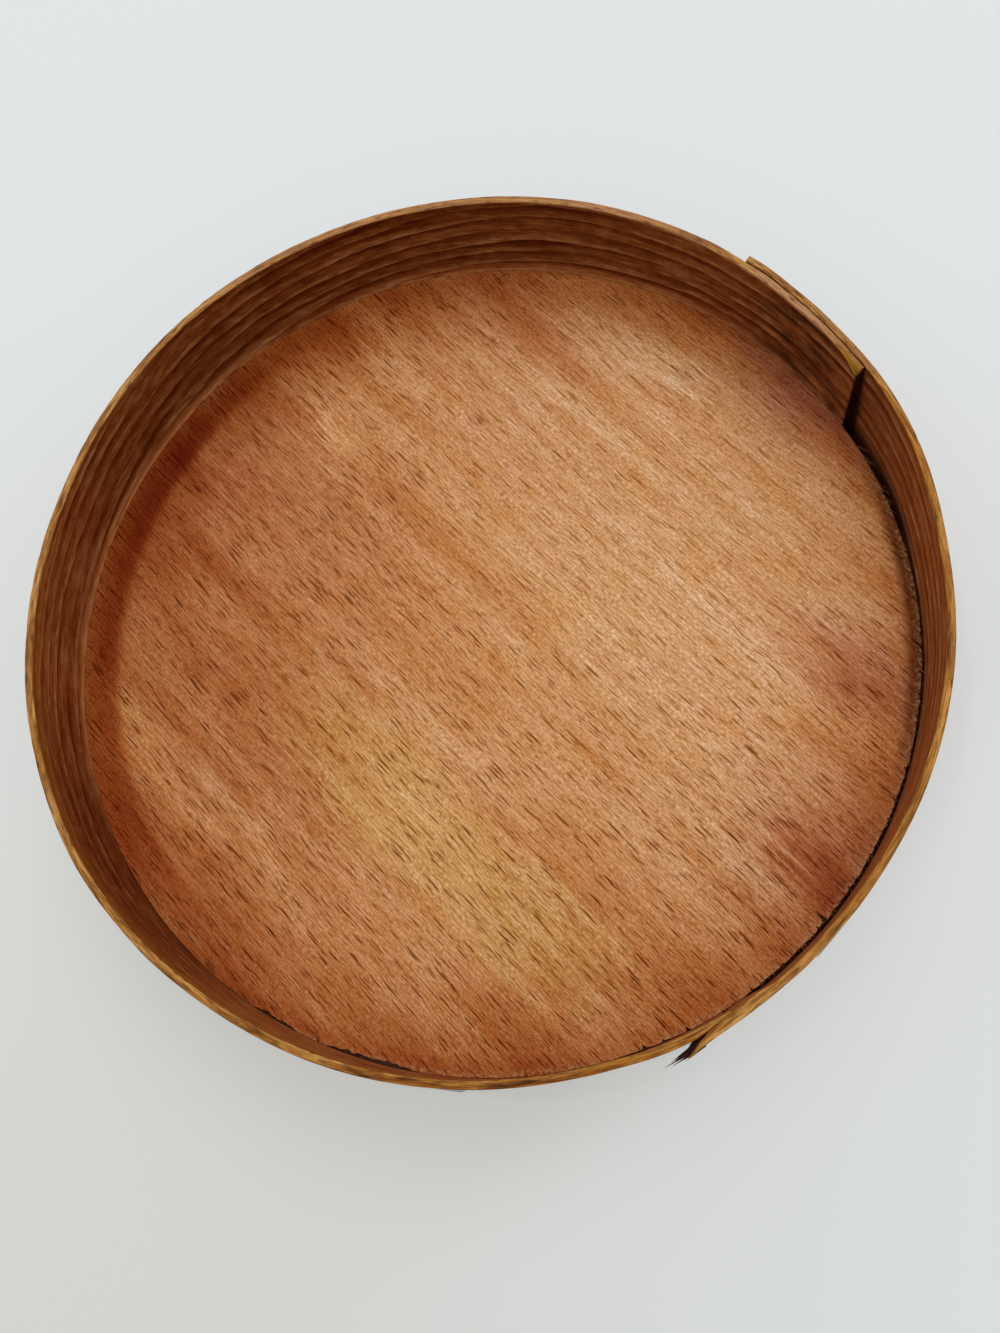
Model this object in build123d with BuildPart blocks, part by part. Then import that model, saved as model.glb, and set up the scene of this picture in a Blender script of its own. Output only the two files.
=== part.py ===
from build123d import *

import os
from math import cos, degrees, radians, sin

# One half of a round bentwood cheese box, lying open side up. Millimetres, +Z up.
# The origin is the middle of the panel's underside, which lies on the table.
# Angles run anticlockwise from +X, seen from above, with the open side towards the eye.

# The panel, a disc of three plies with the middle one across the other two
panel_radius = 54.95
veneer_thickness = 0.8
core_thickness = 1.1

# The hoop, two thin strips standing on edge round the panel
strip_thickness = 0.95
tray_depth = 15.3
rim_round = 0.2

# How far each strip stands off the panel's edge
long_strip_play = 0.1
short_strip_play = 0.35

# The lap, where the short strip runs on outside the long strip's square end
lap_start_angle = 32.5
lap_length = 20.6
lap_play = 0.06
ease_length = 26.5

# The scarf, where the long strip thins out inside the short strip's torn end
scarf_angle = -61.5
feather_reach = 3.4
feather_length = 4.4
feather_thickness = 0.15
flare_length = 13.0

# The short strip's torn end, which springs away from the hoop
torn_length = 2.8
torn_thickness = 0.35
torn_spring = 0.35

# The wire staples that pin the hoop to the panel's middle ply
wire_radius = 0.3
crown_length = 9.0
leg_length = 5.0
bend_radius = 0.7
long_strip_staple_shares = (0.12, 0.37, 0.62, 0.87)
short_strip_staple_shares = (0.15, 0.85)

# Heights and radii that follow from the sizes above
core_base = veneer_thickness
face_base = core_base + core_thickness
panel_thickness = face_base + veneer_thickness
hoop_height = panel_thickness + tray_depth
long_inner_radius = panel_radius + long_strip_play
long_outer_radius = long_inner_radius + strip_thickness
side_radius = panel_radius + short_strip_play
lap_radius = long_outer_radius + lap_play
torn_radius = lap_radius + strip_thickness + torn_spring


def turn(length):
    """The angle that a length along the hoop takes up."""
    return degrees(length / panel_radius)


def on_circle(radius, angle):
    """The point at that radius and angle about the box's axis."""
    return Vector(radius * cos(radians(angle)), radius * sin(radians(angle)))


# Where the strips begin, end and change shape, as angles
full_turn = 360
lap_sweep = turn(lap_length)
lap_end_angle = lap_start_angle + lap_sweep
side_end_angle = lap_start_angle - turn(ease_length)
side_start_angle = scarf_angle + turn(flare_length)
side_sweep = side_end_angle - side_start_angle
torn_angle = scarf_angle - turn(torn_length)
feather_end_angle = scarf_angle + turn(feather_reach)
feather_start_angle = feather_end_angle - turn(feather_length)
long_inner_sweep = full_turn + feather_end_angle - lap_start_angle
long_outer_sweep = full_turn + feather_start_angle - lap_start_angle


def staple_seats():
    """Where each staple's crown meets the hoop, turned so that its legs point at the axis."""
    long_sweep = full_turn + torn_angle - lap_end_angle
    seats = [(long_outer_radius, lap_end_angle + share * long_sweep) for share in long_strip_staple_shares]
    side_outer_radius = side_radius + strip_thickness
    seats += [(side_outer_radius, side_start_angle + share * side_sweep) for share in short_strip_staple_shares]
    middle = Vector(0, 0, core_base + core_thickness / 2)
    return [Location(on_circle(radius, angle) + middle, (0, 0, angle)) for radius, angle in seats]


# One staple, lying in the XY plane with its crown's inner side on X = 0
with BuildPart() as staple:
    with BuildLine() as wire:
        FilletPolyline(
            (wire_radius - leg_length, -crown_length / 2),
            (wire_radius, -crown_length / 2),
            (wire_radius, crown_length / 2),
            (wire_radius - leg_length, crown_length / 2),
            radius=bend_radius,
        )
    with BuildSketch(Plane(origin=wire.line @ 0, z_dir=wire.line % 0)):
        Circle(wire_radius)
    sweep()

# Staples, driven through the hoop from outside
with BuildPart() as panel_staples:
    with Locations(*staple_seats()):
        add(staple.part)

# Back veneer, the ply that lies on the table
with BuildPart() as panel_back_veneer:
    with BuildSketch():
        Circle(panel_radius)
    extrude(amount=veneer_thickness)

# Core veneer, which takes the legs of the staples
with BuildPart() as panel_core_veneer:
    with BuildSketch(Plane.XY.offset(core_base)):
        Circle(panel_radius)
    extrude(amount=core_thickness)
    add(panel_staples.part, mode=Mode.SUBTRACT)

# Face veneer, the floor of the tray
with BuildPart() as panel_face_veneer:
    with BuildSketch(Plane.XY.offset(face_base)):
        Circle(panel_radius)
    extrude(amount=veneer_thickness)

# Long strip, from its square end in the lap round to its feathered end in the scarf
with BuildPart() as hoop_long_strip:
    with BuildSketch():
        with BuildLine():
            inside = CenterArc((0, 0), long_inner_radius, lap_start_angle, long_inner_sweep)
            outside = CenterArc((0, 0), long_outer_radius, lap_start_angle, long_outer_sweep)
            feather = on_circle(long_inner_radius + feather_thickness, feather_end_angle)
            Line(inside @ 0, outside @ 0)
            Polyline(outside @ 1, feather, inside @ 1)
        make_face()
    extrude(amount=hoop_height)
    rim = hoop_long_strip.edges().group_by(Axis.Z)[-1]
    fillet(rim.filter_by(GeomType.CIRCLE), radius=rim_round)
    add(panel_staples.part, mode=Mode.SUBTRACT)


def short_strip_face(depth, end):
    """One face of the short strip, that deep in its wood, from an end at the scarf to the lap's far end."""
    side = CenterArc((0, 0), side_radius + depth, side_start_angle, side_sweep)
    lap = CenterArc((0, 0), lap_radius + depth, lap_start_angle, lap_sweep)
    TangentArc(side @ 0, end, tangent=-(side % 0))
    TangentArc(side @ 1, lap @ 0, tangent=side % 1)
    return lap @ 1


# Short strip, from its torn end outside the scarf round to its square end outside the lap
with BuildPart() as hoop_short_strip:
    with BuildSketch():
        with BuildLine():
            mouth = on_circle(lap_radius, scarf_angle)
            torn_inside = on_circle(torn_radius - torn_thickness, torn_angle)
            torn_outside = on_circle(torn_radius, torn_angle)
            inside_end = short_strip_face(0, mouth)
            outside_end = short_strip_face(strip_thickness, torn_outside)
            Polyline(mouth, torn_inside, torn_outside)
            Line(inside_end, outside_end)
        make_face()
    extrude(amount=hoop_height)
    rim = hoop_short_strip.edges().group_by(Axis.Z)[-1]
    fillet(rim.filter_by(GeomType.CIRCLE), radius=rim_round)
    add(panel_staples.part, mode=Mode.SUBTRACT)

pieces = {
    "hoop_long_strip": hoop_long_strip,
    "hoop_short_strip": hoop_short_strip,
    "panel_face_veneer": panel_face_veneer,
    "panel_core_veneer": panel_core_veneer,
    "panel_back_veneer": panel_back_veneer,
    "panel_staples": panel_staples,
}
for name, piece in pieces.items():
    piece.part.label = name
    export_step(piece.part, f"parts/{name}.step")
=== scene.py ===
# %% [markdown]
# # Half of a round cheese box
#
# The object is one half of a small bentwood box: a round plywood panel about 110 mm across, with a
# thin hoop of bent beech standing round its edge. It lies open side up, so it looks like a tray.
# The hoop is two strips. They overlap side by side at the upper right, and at the lower right one
# thins out inside the torn end of the other.
#
# The CAD model gives the main sizes. Here each visible piece gets its fine shape and its wood.

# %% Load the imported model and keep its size
from functools import partial
from math import atan2, cos, degrees, exp, pi, radians, sin
from random import Random

import bmesh
import bpy
from mathutils import Matrix, Vector, noise


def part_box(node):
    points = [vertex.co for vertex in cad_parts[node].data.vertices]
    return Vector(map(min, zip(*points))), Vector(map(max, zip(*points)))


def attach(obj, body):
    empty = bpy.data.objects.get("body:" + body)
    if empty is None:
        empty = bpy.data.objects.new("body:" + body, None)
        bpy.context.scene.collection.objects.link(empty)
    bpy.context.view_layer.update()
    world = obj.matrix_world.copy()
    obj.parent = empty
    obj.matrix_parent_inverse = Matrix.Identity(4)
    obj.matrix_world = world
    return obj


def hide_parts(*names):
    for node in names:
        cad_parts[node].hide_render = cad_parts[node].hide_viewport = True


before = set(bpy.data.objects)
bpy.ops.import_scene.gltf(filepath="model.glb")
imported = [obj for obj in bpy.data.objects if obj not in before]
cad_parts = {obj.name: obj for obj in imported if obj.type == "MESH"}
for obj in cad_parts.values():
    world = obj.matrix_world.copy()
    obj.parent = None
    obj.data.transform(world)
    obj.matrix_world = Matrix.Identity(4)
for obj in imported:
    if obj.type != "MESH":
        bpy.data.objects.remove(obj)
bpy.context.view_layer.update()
print("CAD nodes:", sorted(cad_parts))

# %% [markdown]
# ## Units, colours and nodes
#
# Blender works in metres and in linear light. A maker thinks in millimetres and in the hex colours
# of a screen. A few small functions carry us from one to the other, and save typing: one turns a
# hex colour to linear, one adds any shader node, one lays colours over one another, one empties a
# material so that nodes can be added to it alone, and one eases a value from 0 to 1.

# %% Small helpers
MM = 0.001
SMOOTH = {"interpolation_type": "SMOOTHSTEP"}


def linear(hex_colour):
    """An sRGB hex colour as the linear RGBA that shaders work with."""
    parts = [int(hex_colour[i : i + 2], 16) / 255 for i in (1, 3, 5)]
    curve = [p / 12.92 if p <= 0.04045 else ((p + 0.055) / 1.055) ** 2.4 for p in parts]
    return (*curve, 1.0)


def add_node(tree, kind, links=(), stops=None, **settings):
    """Add a shader node. Its kind may name its operation too, as in "Math multiply".

    Links are in order, or by name. Each is a value, a hex colour, a socket, or a node's first
    output. A pair for "From" or "To" goes to the Min and the Max of that name.
    """
    kind, *operation = kind.split()
    node = tree.nodes.new("ShaderNode" + kind)
    if operation:
        node.operation = operation[0].upper()
    for name, value in settings.items():
        setattr(node, name, value)
    links = dict(links) if isinstance(links, dict) else dict(enumerate(links))
    for name in ("From", "To"):
        if name in links:
            links[name + " Min"], links[name + " Max"] = links.pop(name)
    for name, value in links.items():
        by_name = [s for s in node.inputs if s.enabled and s.name == name]
        socket = by_name[0] if by_name else node.inputs[name]
        if isinstance(value, str):
            value = linear(value)
        if isinstance(value, bpy.types.Node):
            value = next(s for s in value.outputs if s.enabled)
        if isinstance(value, bpy.types.NodeSocket):
            tree.links.new(value, socket)
        else:
            socket.default_value = value
    if stops:
        elements = node.color_ramp.elements
        while len(elements) < len(stops):
            elements.new(0.5)
        for element, (position, colour) in zip(elements, stops):
            element.position = position
            element.color = linear(colour)
    return node


def paint_over(add, colour, layers):
    """Lay colours over one another, each where its share says."""
    for share, layer in layers:
        colour = add("Mix", {"Factor": share, "A": colour, "B": layer}, data_type="RGBA")
    return colour


def emptied(material):
    """Clear a material's or a world's nodes, and give what adds nodes to it."""
    material.use_nodes = True
    material.node_tree.nodes.clear()
    return partial(add_node, material.node_tree)


def ease(value, start, end):
    """Rises smoothly from 0 at start to 1 at end."""
    t = min(max((value - start) / (end - start), 0.0), 1.0)
    return t * t * (3 - 2 * t)


print("beech tan in linear light:", [round(v, 3) for v in linear("#c68e5f")])

# %% [markdown]
# ## The camera
#
# The photo was taken by hand from above, a little to the right and below the middle of the box.
# The camera stands where the panel's edge and the hoop's rim both line up with the photo. The
# image is 1000 by 1333, so its long side is upright, and the focal length is set against that.

# %% Camera
IMAGE_HEIGHT = 1333
FOCAL_PIXELS = 1300
SENSOR = 36.0

scene = bpy.context.scene
camera_data = bpy.data.cameras.new("camera")
camera_data.sensor_width = SENSOR
camera_data.lens = FOCAL_PIXELS / IMAGE_HEIGHT * SENSOR
camera_data.clip_start = 0.01
camera = bpy.data.objects.new("camera", camera_data)
camera.location = (0.01995, -0.05061, 0.16412)
camera.rotation_euler = [radians(a) for a in (16.245, 6.033, 1.754)]
scene.collection.objects.link(camera)
scene.camera = camera
scene.view_settings.view_transform = "Standard"
print("camera stands", round(camera.location.length * 1000), "mm from the origin")

# %% [markdown]
# ## Table and light
#
# The box lies on a plain pale table in soft room light. Its shadows tell where the light comes
# from. Below the box the table darkens very softly, so a wide light such as a window lies beyond
# it. The left wall throws a narrow shadow on the panel, 4 mm wide, so a smaller light is high on
# the left, and the right wall throws one under 2 mm wide, so another is nearly overhead. The sky
# fills in the rest. The shares add up to about 1, so a colour renders about as it is written.
# The table glows a little for the camera alone, which keeps its shadows as pale as in the photo,
# and a little more at the lower right, where the photo's table is lightest. Under the box it is
# painted dark brown, a painted shade, because so little light gets down the gap beside the panel.

# %% Table
TABLE_REACH = 2.0

table_material = bpy.data.materials.new("matt_white_table")
add = emptied(table_material)
table_place = add("TexCoord").outputs["Object"]
table_xyz = add("SeparateXYZ", [table_place])
# the table is painted lighter towards the top and at the lower right: painted light
nearer = add("MapRange", {"Value": table_xyz.outputs["Y"], "From": (-0.10, 0.075)}, **SMOOTH)
table_colour = add("ValToRGB", {"Fac": nearer}, stops=[(0, "#d2d4d1"), (0.4, "#dcdedc"), (1, "#e1e5e7")])
to_right = add("MapRange", {"Value": table_xyz.outputs["X"], "From": (-0.02, 0.08)})
lower_right = add("MapRange", {"Value": nearer, "From Max": 0.7, "To": (0.6, 0.0)})
painted_light_lower_right = add("Math multiply", [to_right, lower_right])
table_colour = paint_over(add, table_colour, [(painted_light_lower_right, "#e2e8e9")])
from_middle = add("VectorMath length", [table_place])
shade_reach = add(
    "MapRange", {"Value": table_xyz.outputs["X"], "From": (26 * MM, 28 * MM), "To": (55.2 * MM, 56.4 * MM)}
)
outside_box = add("Math greater_than", [from_middle, shade_reach])
# under the box the table is painted dark brown: painted shade, since little light gets down the gap
shaded_table = paint_over(add, "#5f3626", [(outside_box, table_colour)])
table_surface = add(
    "BsdfPrincipled", {"Base Color": shaded_table, "Roughness": 0.7, "Specular IOR Level": 0.2}
)
table_glow = add("Emission", {"Color": table_colour, "Strength": 1.0})
seen_by_camera = add("LightPath").outputs["Is Camera Ray"]
glow = add("Math multiply", [seen_by_camera, outside_box])
towards_lower_right = add("VectorMath dot_product", [table_place, (0.707, -0.707, 0)])
glow_strength = add(
    "MapRange", {"Value": towards_lower_right, "From": (46 * MM, 58 * MM), "To": (0.45, 0.70)}
)
glow_share = add("Math multiply", [glow, glow_strength])
table_mix = add("MixShader", [glow_share, table_surface, table_glow])
add("OutputMaterial", {"Surface": table_mix})

bm = bmesh.new()
bmesh.ops.create_grid(bm, x_segments=1, y_segments=1, size=TABLE_REACH)
table_mesh = bpy.data.meshes.new("table")
bm.to_mesh(table_mesh)
bm.free()
table = bpy.data.objects.new("table", table_mesh)
table_mesh.materials.append(table_material)
scene.collection.objects.link(table)

# %% Lamps and sky
SHARES = {"window": 0.19, "left": 0.06, "overhead": 0.10, "sky": 0.67}


def add_sun(name, share, azimuth, elevation, spread, colour):
    """A sun that gives that share of a level white surface's light."""
    data = bpy.data.lights.new(name, "SUN")
    data.energy = share * pi / sin(radians(elevation))
    data.angle = radians(spread)
    data.color = linear(colour)[:3]
    lamp = bpy.data.objects.new(name, data)
    lamp.rotation_euler = (0, radians(90 - elevation), radians(azimuth))
    scene.collection.objects.link(lamp)


add_sun("window", SHARES["window"], 91, 58, 40, "#fafcff")
add_sun("left", SHARES["left"], 166, 72, 4, "#fffdf8")
add_sun("overhead", SHARES["overhead"], 5, 82, 6, "#fffdf8")

world = bpy.data.worlds.new("studio")
scene.world = world
add = emptied(world)
sky = add("Background", {"Color": "#fffffc", "Strength": SHARES["sky"]})
backdrop = add("Background", {"Color": "#e3e7e9", "Strength": 1.0})
rays = add("LightPath")
seen = rays.outputs["Is Camera Ray"]
for kind in ("Is Glossy Ray", "Is Transmission Ray"):
    seen = add("Math maximum", [seen, rays.outputs[kind]])
mixed_sky = add("MixShader", [seen, sky, backdrop])
add("OutputWorld", {"Surface": mixed_sky})
print("light on a level surface adds up to", round(sum(SHARES.values()), 2))

# %% [markdown]
# ## Bending a strip
#
# A real strip is sliced flat, steamed and bent round a form. In Blender the same shape comes from
# one upright section, a small grid of quads, spun about the box's middle. Spinning a grid keeps
# both ends closed. The rim's two long edges then get a small bevel, as from light sanding.
# Each point remembers where it lies in its wood: how far along the strip, how deep and how high.
# The wood's pattern is read from that, so the grain bends with the strip.

# %% Sizes shared with the CAD
panel_low, panel_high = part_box("panel_face_veneer")
hoop_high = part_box("hoop_long_strip")[1]
PANEL_RADIUS = panel_high.x / MM
FACE_BASE = panel_low.z / MM
FACE_TOP = panel_high.z / MM
HOOP_HEIGHT = hoop_high.z / MM
STRIP_THICKNESS = 0.95
RIM_ROUND = 0.13
print("panel radius", round(PANEL_RADIUS, 2), "face top", round(FACE_TOP, 2), "hoop", round(HOOP_HEIGHT, 2))

# %% Spin a strip
STEP_ALONG = 0.36
QUADS_ACROSS = 4
QUADS_UP = 22
CROWD_TO_RIM = 1.35


def spin_strip(start, sweep):
    """A strip of even thickness, in mm, from start degrees round by sweep degrees."""
    bm = bmesh.new()
    bmesh.ops.create_grid(bm, x_segments=QUADS_ACROSS, y_segments=QUADS_UP, size=0.5)
    for vert in bm.verts:
        depth, height = vert.co.x + 0.5, vert.co.y + 0.5
        rise = 1 - (1 - height) ** CROWD_TO_RIM
        vert.co = (PANEL_RADIUS + depth * STRIP_THICKNESS, 0, rise * HOOP_HEIGHT)
    turn = Matrix.Rotation(radians(start), 3, "Z")
    bmesh.ops.rotate(bm, verts=bm.verts, cent=(0, 0, 0), matrix=turn)
    bmesh.ops.spin(
        bm, geom=bm.verts[:] + bm.edges[:] + bm.faces[:], cent=(0, 0, 0), axis=(0, 0, 1),
        angle=radians(sweep), steps=round(radians(sweep) * PANEL_RADIUS / STEP_ALONG),
    )
    bmesh.ops.recalc_face_normals(bm, faces=bm.faces)
    return bm


def round_rim(bm):
    """Bevel the two long edges of the rim."""
    middle = PANEL_RADIUS + STRIP_THICKNESS / 2
    rim = []
    for edge in bm.edges:
        a, b = (vert.co for vert in edge.verts)
        level = min(a.z, b.z) > HOOP_HEIGHT - 0.001
        sides = [vert.xy.length - middle for vert in (a, b)]
        on_side = min(abs(side) for side in sides) > STRIP_THICKNESS * 0.49
        if level and on_side and sides[0] * sides[1] > 0:
            rim.append(edge)
    bmesh.ops.bevel(
        bm, geom=rim, offset=RIM_ROUND, offset_type="OFFSET", segments=3, profile=0.5, affect="EDGES",
        clamp_overlap=True, material=-1,
    )


# %% [markdown]
# ## How the hoop leans and wears
#
# Bent wood never stays quite round. Seen from above, the rim leans in by half a millimetre on the
# right and in the lap, and out a little on the left. The rim is also nicked and worn. Both are
# moves of the strip's points by a formula, with smooth noise for what is irregular.

# %% Lean and wear
RIM_LEAN = [
    (5, -0.60), (20, -0.38), (30, -0.42), (38, -0.55), (45, -0.45), (52, -0.20), (60, 0.05),
    (80, 0.25), (110, 0.22), (135, 0.33), (150, 0.10), (165, -0.12), (180, 0.07), (200, 0.25),
    (215, 0.38), (228, 0.10), (240, -0.10), (255, -0.05), (270, -0.10), (285, -0.22),
    (295, 0.10), (303, 0.19), (310, 0.0), (318, -0.30), (330, -0.45), (350, -0.53), (365, -0.60),
]  # fmt: skip


def rim_lean(angle):
    """How far the rim stands outward of the foot, in mm, at that angle."""
    angle = (angle - RIM_LEAN[0][0]) % 360 + RIM_LEAN[0][0]
    for (a, lean_a), (b, lean_b) in zip(RIM_LEAN, RIM_LEAN[1:]):
        if a <= angle <= b:
            return lean_a + (lean_b - lean_a) * ease(angle, a, b)
    return RIM_LEAN[0][1]


def above_panel(height):
    """0 at the panel's face and 1 at the rim."""
    return max(0.0, (height - FACE_TOP) / (HOOP_HEIGHT - FACE_TOP))


def wave(seed, *scaled):
    """Smooth noise from about -1 to 1 at a point given in its own wavelengths."""
    return noise.noise(Vector(scaled + (0,) * (3 - len(scaled))) + Vector((seed, seed, seed)))


def wear(seed, along, depth, height, nicked=1.0):
    """How far a point of a strip is worn: (outward, up) in mm. Depth runs from 0 to 1."""
    near_rim = ease(height, HOOP_HEIGHT - 1.2, HOOP_HEIGHT)
    out = 0.03 * wave(seed, along / 7, height / 5)
    up = near_rim * (0.09 * wave(seed + 3, along / 11) + 0.05 * wave(seed + 5, along / 1.7))
    nick = ease(wave(seed + 9, along / 1.3, depth * 1.5), 0.22, 0.6) * near_rim * nicked
    return out + nick * 0.22 * max(0.5 - depth, 0.0), up - nick * 0.08


print("rim leans", rim_lean(0), "mm at the right and", round(rim_lean(180), 2), "mm at the left")

# %% [markdown]
# ## The long strip
#
# This strip runs three quarters of the way round. Its first end is cut square and shows inside
# the lap, with a chip off its top inner corner. Its last end was planed to a feather edge for a
# glued scarf. The chip is a flat cut, so a bisect makes it before the strip takes its lean.

# %% Sizes of the long strip
LONG_INNER = 55.01
LAP_START = 32.5
LAP_END = 53.98
LONG_SWEEP = 269.55
FEATHER_START = 297.46
FEATHER_END = 302.05
FEATHER_THICKNESS = 0.15
CHIP_REACH = 5.2
CHIP_DROP = 1.6
CHIP_DEPTH = 0.5


def around(point, start):
    """The point's angle in degrees, counted on from start."""
    return start + (degrees(atan2(point.y, point.x)) - start + 1) % 360 - 1


def at(radius, angle, height):
    """The point at that radius, angle and height."""
    return Vector((radius * cos(radians(angle)), radius * sin(radians(angle)), height))


print("the lap starts at", [round(v, 1) for v in at(LONG_INNER, LAP_START, HOOP_HEIGHT)])


# %% The chip and the places in the wood
def cut_chip(bm):
    """Cut the chip off the top inner corner of the square end, and close the cut."""
    tip = at(PANEL_RADIUS + CHIP_DEPTH, LAP_START, HOOP_HEIGHT)
    far = at(PANEL_RADIUS, LAP_START + CHIP_REACH, HOOP_HEIGHT)
    low = at(PANEL_RADIUS, LAP_START, HOOP_HEIGHT - CHIP_DROP)
    normal = (far - tip).cross(low - tip)
    if normal.z < 0:
        normal.negate()
    near = [f for f in bm.faces if around(f.calc_center_median(), 0) < LAP_START + CHIP_REACH + 2]
    geom = set(near) | {e for f in near for e in f.edges} | {v for f in near for v in f.verts}
    cut = bmesh.ops.bisect_plane(
        bm, geom=list(geom), dist=0.0001, plane_co=tip, plane_no=normal, clear_outer=True
    )
    edges = [e for e in cut["geom_cut"] if isinstance(e, bmesh.types.BMEdge)]
    return bmesh.ops.holes_fill(bm, edges=edges)["faces"]


def add_layers(bm):
    """Layers for each point's place in its wood, how it is worn and where shade is painted on it,
    and which faces are chipped.
    """
    bm.verts.layers.float_vector.new("in_strip")
    bm.verts.layers.float_vector.new("wear_and_painted_shade")
    bm.faces.layers.float.new("chipped")
    return bm.verts.layers.float_vector["in_strip"], bm.verts.layers.float_vector["wear_and_painted_shade"]


def remember_wood(bm, layer, start):
    """Keep each point's place in the wood: along, depth and height in mm."""
    for vert in bm.verts:
        along = radians(around(vert.co, start)) * PANEL_RADIUS
        vert[layer] = (along, vert.co.xy.length - PANEL_RADIUS, vert.co.z)


# %% The long strip's own shape
LONG_SEED = 11
LAP_WEAR = 0.05
NOTCH_AT = 43.6
NOTCH_DEPTH = 0.12
CREASE_AT = LAP_END + 0.42
CREASE_HALF_WIDTH = 0.5
CREASE_DEPTH = 0.07


def long_thickness(angle):
    """The long strip's thickness there, which thins out to the feather edge."""
    share = max(0.0, angle - FEATHER_START) / (FEATHER_END - FEATHER_START)
    return STRIP_THICKNESS + (FEATHER_THICKNESS - STRIP_THICKNESS) * share


def shave(angle, height):
    """Wood lost from the inner side of the rim in the lap, with a notch where a sliver broke off."""
    wear_and_painted_shade = LAP_WEAR * ease(angle, 54, 51)
    notch = NOTCH_DEPTH * ease(angle, NOTCH_AT, NOTCH_AT - 0.4)
    return ease(height, HOOP_HEIGHT - 1.6, HOOP_HEIGHT) * (wear_and_painted_shade + notch)


def crease(angle):
    """A faint upright kink where the outer strip's end lies behind this one."""
    return CREASE_DEPTH * exp(-(((angle - CREASE_AT) / CREASE_HALF_WIDTH) ** 2))


print("thickness at the feather edge:", round(long_thickness(FEATHER_END), 2), "mm")

# %% Bend the long strip
long_strip = spin_strip(LAP_START, LONG_SWEEP)
round_rim(long_strip)
in_strip, wear_and_painted_shade = add_layers(long_strip)
chip_faces = cut_chip(long_strip)
for face in chip_faces:
    face[long_strip.faces.layers.float["chipped"]] = 1.0
remember_wood(long_strip, in_strip, LAP_START)
for vert in long_strip.verts:
    along, depth, height = vert[in_strip]
    angle = degrees(along / PANEL_RADIUS)
    share = depth / STRIP_THICKNESS
    out, up = wear(LONG_SEED, along, share, height)
    radius = LONG_INNER + share * long_thickness(angle)
    radius += rim_lean(angle) * above_panel(height) + out + crease(angle) * (1 - depth)
    radius += shave(angle, height) * max(0.0, 1 - share)
    vert.co = at(radius, angle, height + up)
    pink = 0.9 * ease(angle, 53.5, 50.5) * ease(angle, 34.0, 44.0)
    pink += 0.15 + 0.4 * ease(wave(4, along / 16), 0.1, 0.5)
    pink += 0.30 * ease(angle, 56, 66) * ease(angle, 145, 120)
    golden = 0.35 * ease(angle, 188, 204) + 0.3 * ease(angle, 246, 262)
    golden *= 0.4 + 0.6 * share
    pink = min(pink, 1.0) - golden * ease(angle, 302, 296)
    bare = 0.3 * ease(angle, 282, 288) * ease(angle, 296.0, 289.0)
    # the square end is painted dark: its end grain, and painted shadow
    square_end = ease(angle, LAP_START + 0.4, LAP_START)
    vert[wear_and_painted_shade] = (pink, bare, square_end * ease(height, HOOP_HEIGHT - 0.3, HOOP_HEIGHT - 1.6))
print("long strip:", len(long_strip.faces), "faces,", len(chip_faces), "on the chip")

# %% [markdown]
# ## The short strip
#
# The second strip closes the ring on the right. It lies outside the long one at both joints, so
# between them it stands a little off the panel. Its far end was torn at the scarf: the glue held
# some fibres, so the end is ragged, thin and sprung outward, with a few splinters.

# %% Sizes of the short strip
SIDE_INNER = 55.3
LAP_INNER = 56.10
SIDE_END = 4.87
SIDE_START = -47.95
SCARF = -61.5
TORN_END = -64.42
TORN_INNER = 57.01
TORN_OUTER = 57.36
TEAR_START = -60.4
GLUE = 0.03
LAP_THINNING = 0.08
SHORT_SEED = 23


def short_inner(angle):
    """Radius of the short strip's inner face. Along the scarf it lies against the long strip."""
    if angle > SIDE_END:
        return SIDE_INNER + (LAP_INNER - SIDE_INNER) * ease(angle, SIDE_END, LAP_START)
    against_long = LONG_INNER + long_thickness(max(angle, SCARF) + 360) + GLUE
    if angle < SCARF:
        return against_long + (TORN_INNER - against_long) * (SCARF - angle) / (SCARF - TORN_END)
    swing = max(SIDE_START - angle, 0.0) / (SIDE_START - SCARF)
    gap = SIDE_INNER + (LAP_INNER - SIDE_INNER) * swing**2
    return gap + (against_long - gap) * ease(angle, -51, FEATHER_END - 360)


def short_outer(angle):
    """Radius of the short strip's outer face."""
    if angle > SIDE_START:
        return short_inner(angle) + STRIP_THICKNESS - LAP_THINNING * ease(angle, 20, LAP_START)
    swing = (SIDE_START - angle) / (SIDE_START - TORN_END)
    rest = SIDE_INNER + STRIP_THICKNESS
    return rest + (TORN_OUTER - rest) * swing**4


print("short strip's inner radius at the lap:", short_inner(LAP_START), "mm")


# %% Where the short strip is dark and torn
def end_shade(angle, height, share):
    """The dark wedge beside the long strip's square end, where dirt gathers and shadow is painted,
    and painted shade along the foot of the inner wall near the lap.
    """
    drop = (HOOP_HEIGHT - height) / (HOOP_HEIGHT - FACE_TOP)
    width = 0.3 + 2.4 * drop
    below_rim = ease(height, HOOP_HEIGHT - 0.15, HOOP_HEIGHT - 0.6)
    wedge = ease(angle, LAP_START - width, LAP_START - 0.3 * width)
    # painted shade along the foot of the inner wall
    foot = 0.85 * ease(height, 5.4, 3.4) * ease(angle, 7, 17)
    return max(wedge, foot) * (1 - share) * below_rim


def torn_back(height, depth):
    """How many degrees short of the full length the torn end stops, at that height."""
    below_rim = HOOP_HEIGHT - height
    ragged = 1.3 + 1.5 * wave(31, height / 0.75, depth * 1.2)
    long_fibres = exp(-((below_rim / 0.6) ** 2)) + exp(-(((below_rim - 3.1) / 0.4) ** 2))
    return min(max(ragged * (1 - min(long_fibres, 1.0)), 0.0), 3.0)


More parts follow.
